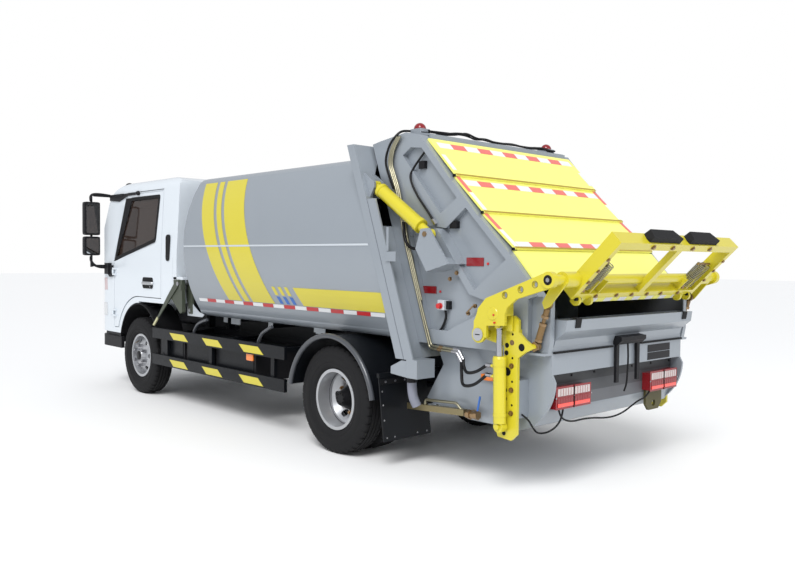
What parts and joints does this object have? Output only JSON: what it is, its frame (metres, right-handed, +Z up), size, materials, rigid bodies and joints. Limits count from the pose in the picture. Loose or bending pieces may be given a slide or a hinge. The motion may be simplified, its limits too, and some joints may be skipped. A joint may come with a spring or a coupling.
{
  "type": "garbage truck",
  "caption": "Light rear-loading compactor garbage truck with a white cab, a barrel-sided body, a lifting tailgate and a bin lifter held up in its tipping pose.",
  "frame": {"origin": "on the ground, at the centre of the truck's footprint", "axes": "+X forward, +Y to the truck's left, +Z up"},
  "size_m": [6.5295, 2.33, 2.3264],
  "materials": {
    "chassis_black": "satin",
    "cab_white": "gloss",
    "body_grey": "satin",
    "cover_yellow": "satin",
    "lifter_yellow": "satin",
    "rim_silver": "satin",
    "tyre_black": "matte",
    "window_glass": "gloss",
    "inner_plastic": "matte",
    "seat_cloth": "matte",
    "lens_clear": "gloss",
    "lens_red": "gloss",
    "rod_chrome": "polished",
    "pad_rubber": "matte",
    "tank_grey": "satin",
    "tow_olive": "satin",
    "link_bronze": "satin"
  },
  "bodies": {
    "chassis": {"chassis_rails": "chassis_black", "cross_members": "chassis_black", "cab_stand": "chassis_black", "front_bumper": "inner_plastic", "engine_block": "tank_grey", "front_axle": "chassis_black", "rear_axle": "chassis_black", "drive_shaft": "chassis_black", "side_guards": "chassis_black", "side_boxes": "inner_plastic", "fuel_tank": "tank_grey", "rear_fenders": "chassis_black", "body_shell": "body_grey", "body_rear_frame": "body_grey"},
    "cab": {"cab_shell": "cab_white", "cab_glass": "window_glass", "dashboard": "inner_plastic", "seats": "seat_cloth", "mirrors": "inner_plastic", "headlamps": "lens_clear", "grille": "inner_plastic"},
    "door_left": {"door_left": "cab_white", "door_glass_left": "window_glass"},
    "door_right": {"door_right": "cab_white", "door_glass_right": "window_glass"},
    "knuckle_left": {"knuckle_left": "chassis_black"},
    "knuckle_right": {"knuckle_right": "chassis_black"},
    "wheel_front_left": {"front_tyre_left": "tyre_black", "front_rim_left": "rim_silver"},
    "wheel_front_right": {"front_tyre_right": "tyre_black", "front_rim_right": "rim_silver"},
    "wheel_rear_left": {"rear_tyres_left": "tyre_black", "rear_rims_left": "rim_silver"},
    "wheel_rear_right": {"rear_tyres_right": "tyre_black", "rear_rims_right": "rim_silver"},
    "tailgate": {"tail_sides": "body_grey", "tail_frame": "body_grey", "rear_cover": "cover_yellow", "hopper": "body_grey", "rear_lamps": "lens_red", "lifter_brackets": "lifter_yellow", "tow_eye": "tow_olive", "rear_bracket": "inner_plastic", "lead_left": "pad_rubber", "lead_cross": "pad_rubber"},
    "tail_barrels": {"tail_barrels": "lifter_yellow"},
    "tail_rods": {"tail_rods": "rod_chrome"},
    "lifter_arms": {"lifter_arms": "lifter_yellow"},
    "lifter_frame": {"lifter_frame": "lifter_yellow", "bin_pads": "pad_rubber"},
    "lifter_barrels": {"lifter_barrels": "lifter_yellow"},
    "lifter_rods": {"lifter_rods": "rod_chrome"},
    "lifter_links": {"lifter_links": "link_bronze"}
  },
  "joints": [
    {"name": "cab_tilt", "type": "hinge", "parent": "chassis", "child": "cab", "pos_m": [3.195, 0, 0.62], "axis": [0, 1, 0], "range_deg": [0, 45]},
    {"name": "door_left_swing", "type": "hinge", "parent": "cab", "child": "door_left", "pos_m": [2.806, 0.914, 1.02], "axis": [0, 0, 1], "range_deg": [-65, 0]},
    {"name": "door_right_swing", "type": "hinge", "parent": "cab", "child": "door_right", "pos_m": [2.806, -0.914, 1.02], "axis": [0, 0, 1], "range_deg": [0, 65]},
    {"name": "steer_left", "type": "hinge", "parent": "chassis", "child": "knuckle_left", "pos_m": [2.228, 0.69, 0.389], "axis": [0, 0, 1], "range_deg": [-32, 32]},
    {"name": "steer_right", "type": "hinge", "parent": "chassis", "child": "knuckle_right", "pos_m": [2.228, -0.69, 0.389], "axis": [0, 0, 1], "range_deg": [-32, 32]},
    {"name": "roll_front_left", "type": "hinge", "parent": "knuckle_left", "child": "wheel_front_left", "pos_m": [2.228, 0.79, 0.389], "axis": [0, 1, 0], "continuous": true},
    {"name": "roll_front_right", "type": "hinge", "parent": "knuckle_right", "child": "wheel_front_right", "pos_m": [2.228, -0.79, 0.389], "axis": [0, 1, 0], "continuous": true},
    {"name": "roll_rear_left", "type": "hinge", "parent": "chassis", "child": "wheel_rear_left", "pos_m": [-1.08, 0.7525, 0.389], "axis": [0, 1, 0], "continuous": true},
    {"name": "roll_rear_right", "type": "hinge", "parent": "chassis", "child": "wheel_rear_right", "pos_m": [-1.08, -0.7525, 0.389], "axis": [0, 1, 0], "continuous": true},
    {"name": "tailgate_lift", "type": "hinge", "parent": "chassis", "child": "tailgate", "pos_m": [-1.342, 0, 2.225], "axis": [0, 1, 0], "range_deg": [0, 75]},
    {"name": "lift_barrel_swing", "type": "hinge", "parent": "chassis", "child": "tail_barrels", "pos_m": [-1.464, 0, 1.905], "axis": [0, 1, 0], "range_deg": [0, 83]},
    {"name": "lift_rod_slide", "type": "slide", "parent": "tail_barrels", "child": "tail_rods", "axis": [-0.8384, 0, -0.5451], "range_m": [0, 0.41]},
    {"name": "lifter_arm_swing", "type": "hinge", "parent": "tailgate", "child": "lifter_arms", "pos_m": [-2.45, 0, 0.962], "axis": [0, 1, 0], "range_deg": [-42.5, 0]},
    {"name": "lifter_frame_swing", "type": "hinge", "parent": "lifter_arms", "child": "lifter_frame", "pos_m": [-2.956, 0, 1.297], "axis": [0, 1, 0], "range_deg": [-90, 0]},
    {"name": "lifter_link_swing", "type": "hinge", "parent": "tailgate", "child": "lifter_links", "pos_m": [-2.78, 0, 0.91], "axis": [0, 1, 0], "range_deg": [-44, 0]},
    {"name": "lifter_barrel_swing", "type": "hinge", "parent": "tailgate", "child": "lifter_barrels", "pos_m": [-2.59, 0, 0.43], "axis": [0, 1, 0], "range_deg": [-1, 0]},
    {"name": "lifter_rod_slide", "type": "slide", "parent": "lifter_barrels", "child": "lifter_rods", "axis": [0.0204, 0, 0.9998], "range_m": [-0.105, 0]}
  ],
  "couplings": [
    {"joint": "steer_right", "follows": "steer_left", "ratio": 1},
    {"joint": "lift_barrel_swing", "follows": "tailgate_lift", "ratio": 1.1},
    {"joint": "lift_rod_slide", "follows": "tailgate_lift", "m_per_rad": 0.308},
    {"joint": "lifter_frame_swing", "follows": "lifter_arm_swing", "ratio": 2.1},
    {"joint": "lifter_link_swing", "follows": "lifter_arm_swing", "ratio": 0.95},
    {"joint": "lifter_barrel_swing", "follows": "lifter_arm_swing", "ratio": 0.015},
    {"joint": "lifter_rod_slide", "follows": "lifter_arm_swing", "m_per_rad": 0.1365}
  ]
}
